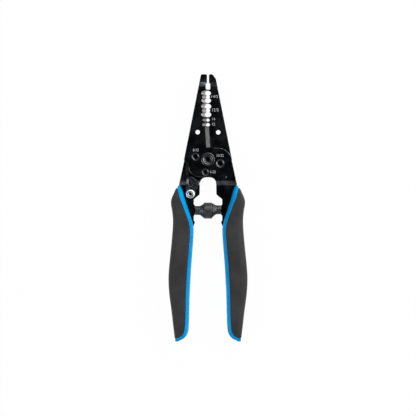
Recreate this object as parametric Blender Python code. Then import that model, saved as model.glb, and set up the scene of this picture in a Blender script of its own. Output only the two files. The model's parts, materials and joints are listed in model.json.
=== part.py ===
"""Cable stripper: two lapped jaw-and-handle stampings on a pivot screw, held shut by a thumb
lever and opened by a double volute spring, with a two-part grip on each handle.

The tool lies on its back: +X is right, +Y points to the jaws, +Z faces the user. Shapes are
drawn about the pivot, with z = 0 on the plane between the stampings, and then moved so that
the origin is the middle of the overall box, on the surface the tool lies on.
"""

from math import acos, cos, hypot, pi, radians, sin, tan

import bmesh
import bpy
from mathutils import Vector

MM = 0.001

# Overall reach from the pivot, and thickness
jaw_reach = 66.8 * MM
handle_reach = 142.7 * MM
plate = 3.0 * MM
grip_depth = 17.5 * MM
clearance = 0.3 * MM
over_cut = 1.0 * MM
arc_step = radians(18)

# Side of the jaws and tangs, one straight taper from the nose to the grips
half_width_at_pivot = 18.8 * MM
side_taper = 0.199

# Nose, for gripping and bending
nose_length = 7.4 * MM
nose_gap = 1.5 * MM
nose_tip_round = 1.0 * MM
front_nose_chamfer = (0.5 * MM, 0.7 * MM)
rear_nose_chamfer = (1.9 * MM, 3.8 * MM)
nose_chamfer_round = 2.0 * MM
nose_inner_round = 0.5 * MM
relief_length = 4.65 * MM
relief_half_width = 1.72 * MM
relief_shoulder = 0.6 * MM
relief_round = 1.45 * MM

# Bend that brings a stamping back to the middle plane, at the nose and below the boss
joggle_length = 3.6 * MM
joggle_into_nose = 1.2 * MM
joggle_below_pivot = 16.6 * MM

# Stripping notches, from the nose down
two_core_notches = (
    {"core": 2.0 * MM, "earth": 1.55 * MM, "pitch": 2.85 * MM, "land": 0.85 * MM},
    {"core": 2.15 * MM, "earth": 1.7 * MM, "pitch": 3.2 * MM, "land": 0.4 * MM},
)
wire_notches = (1.25 * MM, 1.45 * MM)
core_extra_bite = 0.3 * MM
last_land = 0.4 * MM
wire_land = 0.95 * MM
grinding_angle = radians(44)
jaw_overlap = 0.25 * MM

# Wire cutter between the notches and the boss
cutter_bottom = 9.4 * MM
cutter_overlap_top = 0.7 * MM
cutter_overlap_bottom = 1.8 * MM
cutter_bevel = 3.1 * MM
cutting_land = 0.25 * MM

# Holes for bending loops in wire
loop_hole_radius = 1.75 * MM
loop_hole_x = 8.05 * MM
loop_hole_y = 21.4 * MM

# Boss around the pivot
boss_foot = 13.95 * MM
boss_side_top = 0.4 * MM
boss_side_inset = 3.4 * MM
boss_corner_depth = 8.2 * MM
boss_corner_round = 3.0 * MM
boss_belly = (12.8 * MM, 11.7 * MM)
boss_chamfer_end = 8.7 * MM
boss_round = 2.0 * MM
shoulder_radius = 11.2 * MM
shoulder_top = 9.1 * MM
shoulder_end_angle = radians(25.6)
shoulder_end_y = 3.0 * MM
shoulder_side_inset = 0.3 * MM
shoulder_steps = 5
throat_half_width = 6.25 * MM
throat_top_round = 4.9 * MM
throat_foot_round = 2.2 * MM
throat_flare = 0.25 * MM

# Screw shearing holes, threaded in the front stamping and plain in the rear one
shear_holes = (
    {"x": -9.7 * MM, "y": 2.2 * MM, "thread": 1.75 * MM, "plain": 2.2 * MM, "chamfer": 1.1 * MM},
    {"x": 9.6 * MM, "y": -3.0 * MM, "thread": 2.05 * MM, "plain": 2.45 * MM, "chamfer": 1.1 * MM},
    {"x": -2.0 * MM, "y": -9.8 * MM, "thread": 1.4 * MM, "plain": 1.85 * MM, "chamfer": 1.2 * MM},
)
open_angle = radians(26)

# Spring seat on each tang
spring_axis_below_pivot = 39.6 * MM
spring_length = 19.6 * MM
seat_half_width = 3.55 * MM
peg_half_width = 1.3 * MM
peg_length = 3.4 * MM
peg_round = 0.6 * MM
seat_round = 0.3 * MM
scallop_depth = 1.0 * MM
scallop_round = 1.5 * MM
upper_scallop = (4.95 * MM, 0.9 * MM)
lower_scallop = (0.8 * MM, 4.4 * MM)
throat_foot_above_seat = 8.6 * MM
tang_knee_below_seat = 6.0 * MM
tang_knee_round = 1.0 * MM
tang_neck_out = 1.2 * MM
tang_neck_above_mouth = 0.7 * MM

# Top of the tang's outer edge, where it slips out of the grip
tang_tip_inset = 1.0 * MM
tang_tip_depth = 2.4 * MM
tang_tip_rise = 1.4 * MM
tang_bend_round = 3.0 * MM
tang_end_round = 1.5 * MM

# Double volute spring: a strip on two cones, which steps sideways at the back of each turn
spring_outer_radius = 6.5 * MM
spring_end_radius = 4.2 * MM
spring_cone_start = 2.6 * MM
spring_cone_end = 7.2 * MM
spring_strip_width = 6.3 * MM
spring_strip = 0.8 * MM
layer_gap = 0.3 * MM
spring_turns_each_way = 1.5
side_step_turns = (0.25, 0.75)
sinking_turns = (0.5, 1.25)
spring_steps_per_turn = 24
spring_points_across = 4

# Pivot screw, washer and nut
screw_head_radius = 5.4 * MM
screw_head_height = 1.8 * MM
screw_head_bevel = 0.7 * MM
screw_dish_radius = 3.45 * MM
screw_dish_depth = 0.35 * MM
socket_across_flats = 5.0 * MM
socket_depth = 1.9 * MM
shoulder_pin_radius = 4.0 * MM
thread_radius = 3.0 * MM
thread_end_chamfer = 0.4 * MM
washer_radius = 5.6 * MM
washer_thickness = 0.8 * MM
nut_across_flats = 10.0 * MM
nut_height = 2.3 * MM

# Thumb lever that locks the handles shut, on a rivet in the rear tang
rivet_x = -13.8 * MM
rivet_y = -27.0 * MM
rivet_shank_radius = 1.7 * MM
rivet_head_radius = 3.5 * MM
rivet_head_height = 1.4 * MM
rivet_head_rim = 0.5 * MM
rivet_head_bevel = 0.7 * MM
rivet_dish_radius = 1.9 * MM
rivet_dish_depth = 0.7 * MM
rivet_dish_floor = 0.8 * MM
rivet_dish_lip = 0.4 * MM
rivet_tail_radius = 2.9 * MM
rivet_tail_height = 1.0 * MM
rivet_tail_bevel = 0.6 * MM
lever_hub_radius = 4.1 * MM
lever_hub_start = radians(-172)
lever_hub_sweep = radians(164)
lever_hub_steps = 9
lever_thickness = 1.6 * MM
lever_top_y = -13.7 * MM
lever_left_x = -17.0 * MM
lever_left_lean = 0.2 * MM
lever_nose_end_y = -16.0 * MM
lever_nose_steps = 3
lever_right_x = -6.3 * MM
lever_right_y = -18.9 * MM
lever_waist_y = -22.0 * MM
lever_neck = 0.4 * MM
lever_round = 1.5 * MM
thumb_tab_height = 3.4 * MM
thumb_tab_thickness = 1.4 * MM
thumb_tab_inset = 0.25 * MM
thumb_tab_top_inset = 1.4 * MM
thumb_tab_foot_inset = 1.6 * MM
thumb_tab_taper = 0.3 * MM
thumb_tab_sink = 0.4 * MM
lock_washer_thickness = 0.5 * MM

# Grip: a coloured core that shows as a rim, and a dark cover over the rest
cover_wall = 2.2 * MM
cover_skin = 1.6 * MM
core_wall = 0.9 * MM
tang_inset = 3.9 * MM
rim_width = 2.7 * MM
section_fullness = 2.6
section_flat = 1.05
section_points = 24
cover_points = 14
mouth_above_tang = 0.3 * MM
widest_side_share = 0.4
widest_rim_share = 0.6
widest_opening_share = 0.98

# Right-hand grip stations: inner point, outer point, depth and cover as shares of the full one.
# Those of the head hang from the pivot and those of the tail stand on the end of the handle.
# The tang's outer edge enters the grip along the mouth and its inner edge where the grip closes.
tip_stations = (
    ((21.3, -20.7), (23.9, -20.4), 0.32, 0.0),
    ((20.1, -22.9), (25.0, -22.4), 0.62, 0.6),
)
mouth_stations = (
    ((18.9, -26.4), (26.9, -26.6), 0.86, 1.0),
    ((17.7, -31.0), (28.7, -31.0), 1.0, 1.0),
    ((16.2, -35.6), (29.0, -35.0), 1.0, 1.0),
    ((14.6, -40.5), (28.1, -40.2), 1.0, 1.0),
    ((12.2, -47.3), (27.5, -46.8), 1.0, 1.0),
)
closed_stations = (
    ((11.05, -52.8), (27.6, -52.8), 1.0, 1.0),
    ((11.0, -58.5), (28.0, -58.5), 1.0, 1.0),
    ((11.7, -66.5), (28.7, -66.5), 1.0, 1.0),
)
tang_end_stations = (
    ((13.3, 57.0), (30.6, 57.0), 1.0, 1.0),
    ((13.85, 47.0), (30.95, 47.0), 1.0, 1.0),
    ((14.4, 36.0), (30.2, 36.0), 1.0, 1.0),
    ((14.65, 24.0), (28.6, 24.0), 1.0, 1.0),
)
butt_stations = (
    ((14.95, 14.0), (27.5, 14.5), 0.98, 1.0),
    ((15.3, 8.5), (27.15, 11.4), 0.95, 1.0),
    ((16.3, 5.2), (26.85, 9.0), 0.90, 1.0),
    ((18.3, 2.7), (26.6, 7.0), 0.84, 1.0),
    ((21.0, 1.2), (26.4, 5.2), 0.76, 0.9),
    ((23.6, 0.0), (26.2, 3.6), 0.64, 0.6),
    ((25.2, 0.15), (26.0, 1.9), 0.42, 0.0),
)

# Levels and places that follow from the sizes above
lap_face = clearance / 2
plate_face = lap_face + plate
joggle_drop = lap_face + plate / 2
tang_face = plate / 2
middle_z = grip_depth / 2
pivot_y = (handle_reach - jaw_reach) / 2
PIVOT = Vector((0, pivot_y, middle_z))
RIVET = Vector((rivet_x, rivet_y, 0))


def start_empty():
    """Remove whatever the file holds."""
    for item in list(bpy.data.objects):
        bpy.data.objects.remove(item, do_unlink=True)


def finish(name, colour, roughness, metallic):
    """A plain material with the part's colour and gloss."""
    material = bpy.data.materials.new(name)
    material.use_nodes = True
    shader = material.node_tree.nodes["Principled BSDF"]
    shader.inputs["Base Color"].default_value = (*colour, 1)
    shader.inputs["Roughness"].default_value = roughness
    shader.inputs["Metallic"].default_value = metallic
    return material


def add_object(name, bm, material=None, smooth=True):
    """Turn a bmesh into a named object and shade its round faces smooth."""
    bm.normal_update()
    bmesh.ops.recalc_face_normals(bm, faces=bm.faces)
    mesh = bpy.data.meshes.new(name)
    bm.to_mesh(mesh)
    bm.free()
    if material:
        mesh.materials.append(material)
    if smooth:
        mesh.shade_smooth()
        mesh.set_sharp_from_angle(angle=radians(35))
    item = bpy.data.objects.new(name, mesh)
    bpy.context.collection.objects.link(item)
    return item


def cut(target, cutter):
    """Subtract a cutter from a piece and keep the cutter out of the model."""
    cutter.hide_render = True
    cutter.display_type = "WIRE"
    cutter.parent = target
    change = target.modifiers.new(cutter.name, "BOOLEAN")
    change.operation = "DIFFERENCE"
    change.object = cutter
    change.solver = "EXACT"


def join(target, addition):
    """Fuse a helper solid onto a piece."""
    cut(target, addition)
    target.modifiers[addition.name].operation = "UNION"


def rounded(corners):
    """Outline through (x, y, radius) corners, with an arc in each corner that has a radius."""
    points = []
    count = len(corners)
    for index, (x, y, radius) in enumerate(corners):
        here = Vector((x, y))
        if radius == 0:
            points.append(here)
            continue
        before = Vector(corners[index - 1][:2]) - here
        after = Vector(corners[(index + 1) % count][:2]) - here
        turn = before.angle(after)
        reach = min(radius / tan(turn / 2), 0.49 * before.length, 0.49 * after.length)
        radius = reach * tan(turn / 2)
        centre = here + (before.normalized() + after.normalized()).normalized() * hypot(reach, radius)
        start = here + before.normalized() * reach - centre
        end = here + after.normalized() * reach - centre
        sweep = start.angle(end)
        steps = max(1, round(sweep / arc_step))
        side = 1 if start.cross(end) > 0 else -1
        for step in range(steps + 1):
            angle = side * sweep * step / steps
            points.append(centre + Vector((
                start.x * cos(angle) - start.y * sin(angle),
                start.x * sin(angle) + start.y * cos(angle),
            )))
    return points


def slab(outline, bottom, top):
    """Closed plate with the given outline between two levels."""
    bm = bmesh.new()
    face = bm.faces.new([bm.verts.new((p.x, p.y, bottom)) for p in outline])
    raised = bmesh.ops.extrude_face_region(bm, geom=[face])
    for element in raised["geom"]:
        if isinstance(element, bmesh.types.BMVert):
            element.co.z = top
    return bm


def turned(profile, segments=32):
    """Solid of revolution about Z from (radius, z) points that start and end on the axis."""
    bm = bmesh.new()
    points = [bm.verts.new((radius, 0, z)) for radius, z in profile]
    edges = [bm.edges.new(pair) for pair in zip(points, points[1:])]
    bmesh.ops.spin(
        bm, geom=points + edges, cent=(0, 0, 0), axis=(0, 0, 1),
        angle=2 * pi, steps=segments, use_merge=True,
    )
    bmesh.ops.remove_doubles(bm, verts=bm.verts, dist=1e-7)
    return bm


def ring(outer, inner, bottom, top, segments=32):
    """Flat washer shape about Z."""
    bm = bmesh.new()
    corners = [(inner, bottom), (outer, bottom), (outer, top), (inner, top)]
    points = [bm.verts.new((radius, 0, z)) for radius, z in corners]
    edges = [bm.edges.new((points[i - 1], points[i])) for i in range(len(points))]
    bmesh.ops.spin(
        bm, geom=points + edges, cent=(0, 0, 0), axis=(0, 0, 1),
        angle=2 * pi, steps=segments, use_merge=True,
    )
    bmesh.ops.remove_doubles(bm, verts=bm.verts, dist=1e-7)
    return bm


def hexagon(across_flats):
    """Outline of a hexagon about the origin."""
    radius = across_flats / 2 / cos(pi / 6)
    return [Vector((radius * cos(k * pi / 3), radius * sin(k * pi / 3))) for k in range(6)]


def loft(sections):
    """Closed solid through closed sections that all have the same number of points."""
    bm = bmesh.new()
    rings = [[bm.verts.new(point) for point in section] for section in sections]
    for low, high in zip(rings, rings[1:]):
        for k in range(len(low)):
            bm.faces.new((low[k - 1], low[k], high[k], high[k - 1]))
    bm.faces.new(reversed(rings[0]))
    bm.faces.new(rings[-1])
    return bm


def side_x(y):
    """Half width over the jaws and tangs at a height from the pivot."""
    return half_width_at_pivot - side_taper * y


def placed(group, height=0.0):
    """Stations of a group as (inner, outer, depth share, cover share), in metres."""
    shift = Vector((0, height))
    return [
        (Vector(inner) * MM + shift, Vector(outer) * MM + shift, depth, cover)
        for inner, outer, depth, cover in group
    ]


def stations():
    """Every grip station from the tip to the butt."""
    head = placed(tip_stations + mouth_stations + closed_stations)
    return head + placed(tang_end_stations + butt_stations, -handle_reach)


def tang_outer_edge(grow=0.0):
    """Outer edge of the tang inside the grip, from the tip of the grip down."""
    inset = cover_wall + core_wall + 2 * clearance - grow
    along = placed(mouth_stations + closed_stations) + placed(tang_end_stations, -handle_reach)
    return [(outer.x - inset, outer.y) for inner, outer, depth, cover in along]


def tang_inner_edge(grow=0.0):
    """Inner edge of the tang where the grip covers it, from its mouth down."""
    along = placed(closed_stations) + placed(tang_end_stations, -handle_reach)
    return [(inner.x + tang_inset - grow, inner.y) for inner, outer, depth, cover in along]


def spring_seat_corners():
    """Inner edge of the right tang from the throat to the mouth of the grip."""
    axis_y = -spring_axis_below_pivot
    seat_x = spring_length / 2 + clearance
    peg_x = seat_x - clearance - peg_length
    scallop_x = seat_x + scallop_depth
    seat_top = axis_y + seat_half_width
    seat_foot = axis_y - seat_half_width
    mouth_y = tang_inner_edge()[0][1]
    return [
        (throat_half_width, -boss_foot, throat_top_round),
        (throat_half_width + throat_flare, seat_top + throat_foot_above_seat, throat_foot_round),
        (scallop_x, seat_top + upper_scallop[0], scallop_round),
        (scallop_x, seat_top + upper_scallop[1], scallop_round),
        (seat_x, seat_top, seat_round),
        (seat_x, axis_y + peg_half_width, 0),
        (peg_x, axis_y + peg_half_width, peg_round),
        (peg_x, axis_y - peg_half_width, peg_round),
        (seat_x, axis_y - peg_half_width, 0),
        (seat_x, seat_foot, seat_round),
        (scallop_x, seat_foot - lower_scallop[0], scallop_round),
        (scallop_x, seat_foot - lower_scallop[1], scallop_round),
        (seat_x, seat_foot - tang_knee_below_seat, tang_knee_round),
        (seat_x + tang_neck_out, mouth_y + tang_neck_above_mouth, peg_round),
    ]


def notch_rows():
    """Ground notches from the nose down as (height, radius, half opening), and where they end."""
    rows = []
    top = jaw_reach - nose_length - relief_length
    for notch in two_core_notches:
        top -= notch["land"]
        centre = top - notch["core"] - notch["pitch"]
        bite = notch["core"] + core_extra_bite
        rows.append((centre + notch["pitch"], notch["core"], bite))
        rows.append((centre, notch["earth"], notch["earth"]))
        rows.append((centre - notch["pitch"], notch["core"], bite))
        top = centre - notch["pitch"] - notch["core"]
    for radius in wire_notches:
        top -= wire_land
        rows.append((top - radius, radius, radius))
        top -= 2 * radius
    return rows, top - last_land


def blade_outline(nose_chamfer):
    """Outline of the stamping with the left jaw and the right tang."""
    nose_foot = jaw_reach - nose_length
    relief_foot = nose_foot - relief_length
    cutter_top = notch_rows()[1]
    shoulder = Vector((
        side_x(shoulder_end_y) - shoulder_side_inset - shoulder_radius * cos(shoulder_end_angle),
        shoulder_top - shoulder_radius,
    ))
    sweep = pi / 2 - shoulder_end_angle
    arc = [
        shoulder_end_angle + sweep * step / shoulder_steps for step in range(shoulder_steps + 1)
    ]
    tang = tang_inner_edge()
    chamfer_y = jaw_reach - nose_chamfer[1]
    corners = [
        (-nose_gap / 2, jaw_reach, nose_tip_round),
        (-side_x(jaw_reach) + nose_chamfer[0], jaw_reach, nose_chamfer_round),
        (-side_x(chamfer_y), chamfer_y, nose_chamfer_round),
        (-side_x(-boss_side_top), -boss_side_top, nose_inner_round),
        (-side_x(0) + boss_side_inset, -boss_side_top - boss_side_inset, boss_round),
        (-side_x(0) + boss_side_inset, -boss_corner_depth, boss_corner_round),
        (-boss_belly[0], -boss_belly[1], boss_corner_round),
        (-boss_chamfer_end, -boss_foot, boss_round),
    ]
    corners += spring_seat_corners()
    corners += [(x, y, tang_bend_round) for x, y in tang[:-1]]
    corners += [(tang[-1][0], tang[-1][1], tang_end_round)]
    outer = tang_outer_edge()
    corners += [(outer[-1][0], outer[-1][1], tang_end_round)]
    corners += [(x, y, tang_bend_round) for x, y in reversed(outer[:-1])]
    tip = stations()[0][0]
    rise_y = tip.y + tang_tip_rise
    corners += [
        (tip.x + tang_tip_inset, tip.y - tang_tip_depth, tang_end_round),
        (side_x(rise_y), rise_y, peg_round),
    ]
    corners += [
        (shoulder.x + shoulder_radius * cos(a), shoulder.y + shoulder_radius * sin(a), 0) for a in arc
    ]
    corners += [
        (cutter_overlap_bottom, shoulder_top, nose_inner_round),
        (cutter_overlap_bottom, cutter_bottom, 0),
        (cutter_overlap_top, cutter_top, 0),
        (jaw_overlap, cutter_top, 0),
        (jaw_overlap, relief_foot, 0),
        (-relief_half_width, relief_foot, relief_round),
        (-relief_half_width, nose_foot, nose_inner_round),
        (-nose_gap / 2, nose_foot + relief_shoulder, nose_inner_round),
    ]
    return rounded(corners)


def joggle(bm, start, end, drop):
    """Slope the plate between two heights and shift all that lies beyond them."""
    for height in (start, end):
        bmesh.ops.bisect_plane(
            bm, geom=bm.verts[:] + bm.edges[:] + bm.faces[:], dist=1e-7,
            plane_co=(0, height, 0), plane_no=(0, 1, 0),
        )
    for vert in bm.verts:
        share = (vert.co.y - start) / (end - start)
        vert.co.z -= drop * min(max(share, 0), 1)


def facing(bm, side):
    """Turn front-stamping work into rear-stamping work by half a turn about Y."""
    if side < 0:
        for vert in bm.verts:
            vert.co.x *= -1
            vert.co.z *= -1
    return bm


def cut_notches(blade, side):
    """Grind the stripping notches: slanted round grooves, open at the jaw's edge."""
    lean = tan(grinding_angle)
    past_edge = jaw_overlap + plate
    bends = [pi / 2 + pi * step / 10 for step in range(11)]
    for number, (y, radius, half_opening) in enumerate(notch_rows()[0]):
        reach = radius / cos(grinding_angle)
        rings = []
        for level in (lap_face - over_cut, plate_face + over_cut):
            middle = reach - half_opening - (level - lap_face) * lean
            rings.append(
                [(middle + reach * cos(a), y + radius * sin(a), level) for a in bends]
                + [(past_edge, y - radius, level), (past_edge, y + radius, level)]
            )
        groove = add_object(f"{blade.name}_notch_{number + 1}", facing(loft(rings), side))
        cut(blade, groove)


def cut_cutter_bevel(blade, side):
    """Grind the long bevel of the wire cutter."""
    sections = []
    spans = ((cutter_bottom, cutter_overlap_bottom), (notch_rows()[1], cutter_overlap_top))
    for y, edge in spans:
        sections.append([
            (edge, y, lap_face + cutting_land),
            (edge + over_cut, y, lap_face + cutting_land),
            (edge + over_cut, y, plate_face + over_cut),
            (edge - cutter_bevel - over_cut, y, plate_face + over_cut),
            (edge - cutter_bevel, y, plate_face),
        ])
    cut(blade, add_object(f"{blade.name}_bevel", facing(loft(sections), side)))


def cut_round(blade, name, profile, x, y, side, segments=32):
    """Cut a turned shape at a place on a stamping."""
    hole = add_object(f"{blade.name}_{name}", facing(turned(profile, segments), side))
    hole.location = (x * side, y, 0)
    cut(blade, hole)


def straight_hole(radius):
    """Profile of a hole right through both levels."""
    far = plate_face + over_cut
    return [(0, -far), (radius, -far), (radius, far), (0, far)]


def countersunk_hole(radius, chamfer):
    """Profile of a through hole with a chamfer at the outer face."""
    return [
        (0, -over_cut), (radius, -over_cut), (radius, plate_face - chamfer),
        (radius + chamfer + over_cut, plate_face + over_cut), (0, plate_face + over_cut),
    ]


def shear_hole_place(hole, side):
    """Where a shearing hole lies, drawn for the front stamping and before its half turn."""
    if side > 0:
        return hole["x"], hole["y"]
    turn = open_angle
    x = hole["x"] * cos(turn) - hole["y"] * sin(turn)
    y = hole["x"] * sin(turn) + hole["y"] * cos(turn)
    return -x, y


def stamping(name, side, nose_chamfer, material):
    """One jaw-and-tang plate: the front one for side 1, the rear one for side -1."""
    bm = slab(blade_outline(nose_chamfer), lap_face, plate_face)
    nose_bend = jaw_reach - nose_length + joggle_into_nose
    joggle(bm, nose_bend - joggle_length, nose_bend, joggle_drop)
    joggle(bm, -joggle_below_pivot, -joggle_below_pivot - joggle_length, joggle_drop)
    blade = add_object(name, facing(bm, side), material)
    cut_notches(blade, side)
    cut_cutter_bevel(blade, side)
    bore = straight_hole(shoulder_pin_radius + clearance)
    cut_round(blade, "bore", bore, 0, 0, side, 48)
    cut_round(blade, "loop", straight_hole(loop_hole_radius), -loop_hole_x, loop_hole_y, side)
    for number, hole in enumerate(shear_holes):
        radius = hole["thread"] if side > 0 else hole["plain"]
        x, y = shear_hole_place(hole, side)
        cut_round(blade, f"shear_{number + 1}", countersunk_hole(radius, hole["chamfer"]), x, y, side)
    if side < 0:
        rivet_bore = straight_hole(rivet_shank_radius + clearance)
        cut_round(blade, "rivet_bore", rivet_bore, -rivet_x, rivet_y, side, 24)
    return blade


def pivot_screw(material):
    """Shouldered screw with a low bevelled head, a dished middle and a hexagon socket."""
    under = plate_face + clearance
    top = under + screw_head_height
    thread_top = -plate_face - clearance / 2
    end = -plate_face - 3 * clearance - washer_thickness - nut_height
    dish = top - screw_dish_depth
    screw = add_object("pivot_screw", turned([
        (0, end), (thread_radius - thread_end_chamfer, end),
        (thread_radius, end + thread_end_chamfer), (thread_radius, thread_top), (shoulder_pin_radius, thread_top),
        (shoulder_pin_radius, under), (screw_head_radius, under),
        (screw_head_radius, top - screw_head_bevel),
        (screw_head_radius - screw_head_bevel, top),
        (screw_dish_radius + screw_dish_depth, top), (screw_dish_radius, dish), (0, dish),
    ], 36), material)
    socket = add_object("screw_socket", slab(
        hexagon(socket_across_flats), dish - socket_depth, top + over_cut), smooth=False)
    cut(screw, socket)
    return screw


def pivot_washer(material):
    """Washer between the rear stamping and the nut."""
    top = -plate_face - clearance
    return add_object("pivot_washer", ring(
        washer_radius, thread_radius + clearance, top - washer_thickness, top, 40), material)


def pivot_nut(material):
    """Thin hexagon nut on the back."""
    top = -plate_face - 2 * clearance - washer_thickness
    nut = add_object("pivot_nut", slab(
        hexagon(nut_across_flats), top - nut_height, top), material)
    hole = add_object("nut_bore", turned([
        (0, top - 2 * nut_height), (thread_radius + clearance, top - 2 * nut_height),
        (thread_radius + clearance, top + nut_height), (0, top + nut_height),
    ], 40))
    cut(nut, hole)
    return nut


def lock_lever(material):
    """Thumb lever: a hub on the rivet, a nose beside the front boss and a raised tab."""
    bottom = tang_face + clearance
    top = bottom + lever_thickness
    keep_out = hypot(*boss_belly) + 3 * clearance
    nose_start = acos(-lever_top_y / keep_out)
    nose_end = acos(min(1, -lever_nose_end_y / keep_out))
    nose = [
        nose_start + (nose_end - nose_start) * step / lever_nose_steps
        for step in range(lever_nose_steps + 1)
    ]
    hub = [
        lever_hub_start + lever_hub_sweep * step / lever_hub_steps
        for step in range(lever_hub_steps + 1)
    ]
    corners = [(-keep_out * sin(a), -keep_out * cos(a), 0) for a in nose]
    corners += [
        (lever_right_x, lever_right_y, lever_round),
        (rivet_x + lever_hub_radius + lever_neck, lever_waist_y - lever_round, lever_round),
    ]
    corners += [
        (rivet_x + lever_hub_radius * cos(a), rivet_y + lever_hub_radius * sin(a), 0)
        for a in reversed(hub)
    ]
    corners += [
        (lever_left_x - lever_left_lean, lever_waist_y, lever_round),
        (lever_left_x, lever_top_y, lever_round),
    ]
    bm = slab(rounded(corners), bottom, top)
    bmesh.ops.translate(bm, verts=bm.verts, vec=-RIVET)
    lever = add_object("lock_lever", bm, material)
    tab_top = lever_top_y - thumb_tab_top_inset
    tab_foot = lever_waist_y + thumb_tab_foot_inset
    tab_outline = rounded([
        (tab_top, bottom + thumb_tab_sink, 0),
        (tab_foot, bottom + thumb_tab_sink, 0),
        (tab_foot + thumb_tab_taper, top + thumb_tab_height, lever_round),
        (tab_top - thumb_tab_taper, top + thumb_tab_height, lever_round),
    ])
    tab = slab(tab_outline, 0, thumb_tab_thickness)
    for vert in tab.verts:
        along, up, across = vert.co
        vert.co = (lever_left_x + thumb_tab_inset + across, along, up)
    bmesh.ops.translate(tab, verts=tab.verts, vec=-RIVET)
    join(lever, add_object("thumb_tab", tab))
    bore = add_object("lever_bore", turned(straight_hole(rivet_shank_radius + clearance), 24))
    cut(lever, bore)
    return lever


def lock_rivet(material):
    """Rivet with a dished head over the lever and a formed head behind the tang."""
    under = tang_face + 2 * clearance + lever_thickness
    top = under + rivet_head_height
    tail_top = -tang_face - 2 * clearance - lock_washer_thickness
    tail = tail_top - rivet_tail_height
    bm = turned([
        (0, tail), (rivet_tail_radius - rivet_tail_bevel, tail),
        (rivet_tail_radius, tail + rivet_tail_bevel), (rivet_tail_radius, tail_top),
        (rivet_shank_radius, tail_top), (rivet_shank_radius, under), (rivet_head_radius, under),
        (rivet_head_radius, under + rivet_head_rim), (rivet_head_radius - rivet_head_bevel, top),
        (rivet_dish_radius + rivet_dish_lip, top), (rivet_dish_radius, top - rivet_dish_lip),
        (rivet_dish_floor, top - rivet_dish_depth), (0, top - rivet_dish_depth),
    ], 24)
    return add_object("lock_rivet", bm, material)


def lock_washer(material):
    """Friction washer behind the tang that keeps the lever where it is put."""
    top = -tang_face - clearance
    bore = rivet_shank_radius + clearance
    bm = ring(rivet_tail_radius, bore, top - lock_washer_thickness, top, 32)
    return add_object("lock_washer", bm, material)


def share_of(value, span):
    """How far a value is through a span, from 0 to 1."""
    return min(max((value - span[0]) / (span[1] - span[0]), 0), 1)


def strip_section(turns):
    """Corners of the spring strip at a number of turns from the front of its middle turn."""
    distance = abs(turns)
    reach = (spring_length - spring_strip_width) / 2
    along = reach * share_of(distance, side_step_turns) * (1 if turns > 0 else -1)
    sunk = (spring_strip + layer_gap) * share_of(distance, sinking_turns)
    fall = spring_outer_radius - spring_end_radius
    face = []
    for number in range(spring_points_across):
        x = along + spring_strip_width * (number / (spring_points_across - 1) - 0.5)
        cone = spring_outer_radius - fall * share_of(abs(x), (spring_cone_start, spring_cone_end))
        face.append((x, cone - sunk))
    outline = face + [(x, radius - spring_strip) for x, radius in reversed(face)]
    direction = Vector((0, -sin(2 * pi * turns), cos(2 * pi * turns)))
    return [Vector((x, 0, 0)) + direction * radius for x, radius in outline]


def return_spring(material):
    """Strip wound as two cones, widest in the middle, with its ends on the seats."""
    count = round(spring_turns_each_way * spring_steps_per_turn)
    bm = loft([strip_section(step / spring_steps_per_turn) for step in range(-count, count + 1)])
    bmesh.ops.translate(bm, verts=bm.verts, vec=(0, -spring_axis_below_pivot, 0))
    return add_object("return_spring", bm, material)


def oval(middle, half_width, half_depth, angle):
    """Point of a full, flattened oval: (across, depth)."""
    power = 2 / section_fullness
    across = abs(cos(angle)) ** power * (1 if cos(angle) >= 0 else -1)
    deep = min(abs(sin(angle)) ** power * section_flat, 1.0) * (1 if sin(angle) >= 0 else -1)
    return middle + half_width * across, half_depth * deep


def section_sizes(station):
    """Width, half depth, cover walls and rim width at a station."""
    inner, outer, depth, cover = station
    width = (outer - inner).length
    half_depth = depth * grip_depth / 2
    side_wall = min(cover_wall * cover, widest_side_share * width)
    skin = min(cover_skin * cover, widest_side_share * half_depth)
    rim = min(rim_width, widest_rim_share * width)
    return width, half_depth, side_wall, skin, rim


def in_place(station, points):
    """Set (across, depth) points of a section on the line from inner to outer point."""
    inner, outer = station[:2]
    line = (outer - inner).normalized()
    return [(inner.x + line.x * u, inner.y + line.y * u, z) for u, z in points]


def core_section(station):
    """Section of the core, the full width less the cover's side wall."""
    width, half_depth, side_wall, skin, rim = section_sizes(station)
    if side_wall > 0:
        side_wall += clearance
        skin += clearance
    half = (width - side_wall) / 2
    points = [
        oval(half, half, half_depth - skin, 2 * pi * k / section_points)
        for k in range(section_points)
    ]
    return in_place(station, points)


def arch(middle, half_width, half_depth, start):
    """Part of an oval from the rim line over the outer side and back on the other face."""
    widest = widest_opening_share
    share = min(max((middle - start) / half_width, -widest), widest)
    opening = acos(-abs(share) ** (section_fullness / 2) * (1 if share > 0 else -1))
    return [
        oval(middle, half_width, half_depth, opening - 2 * opening * k / cover_points)
        for k in range(cover_points + 1)
    ]


def cover_section(station):
    """C-shaped section of the cover: over the core, open at the rim."""
    width, half_depth, side_wall, skin, rim = section_sizes(station)
    outer = arch(width / 2, width / 2, half_depth, rim)
    half = (width - side_wall - clearance) / 2
    inner = arch(half, half + clearance, half_depth - skin, rim)
    return in_place(station, outer + inner[::-1])


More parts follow.
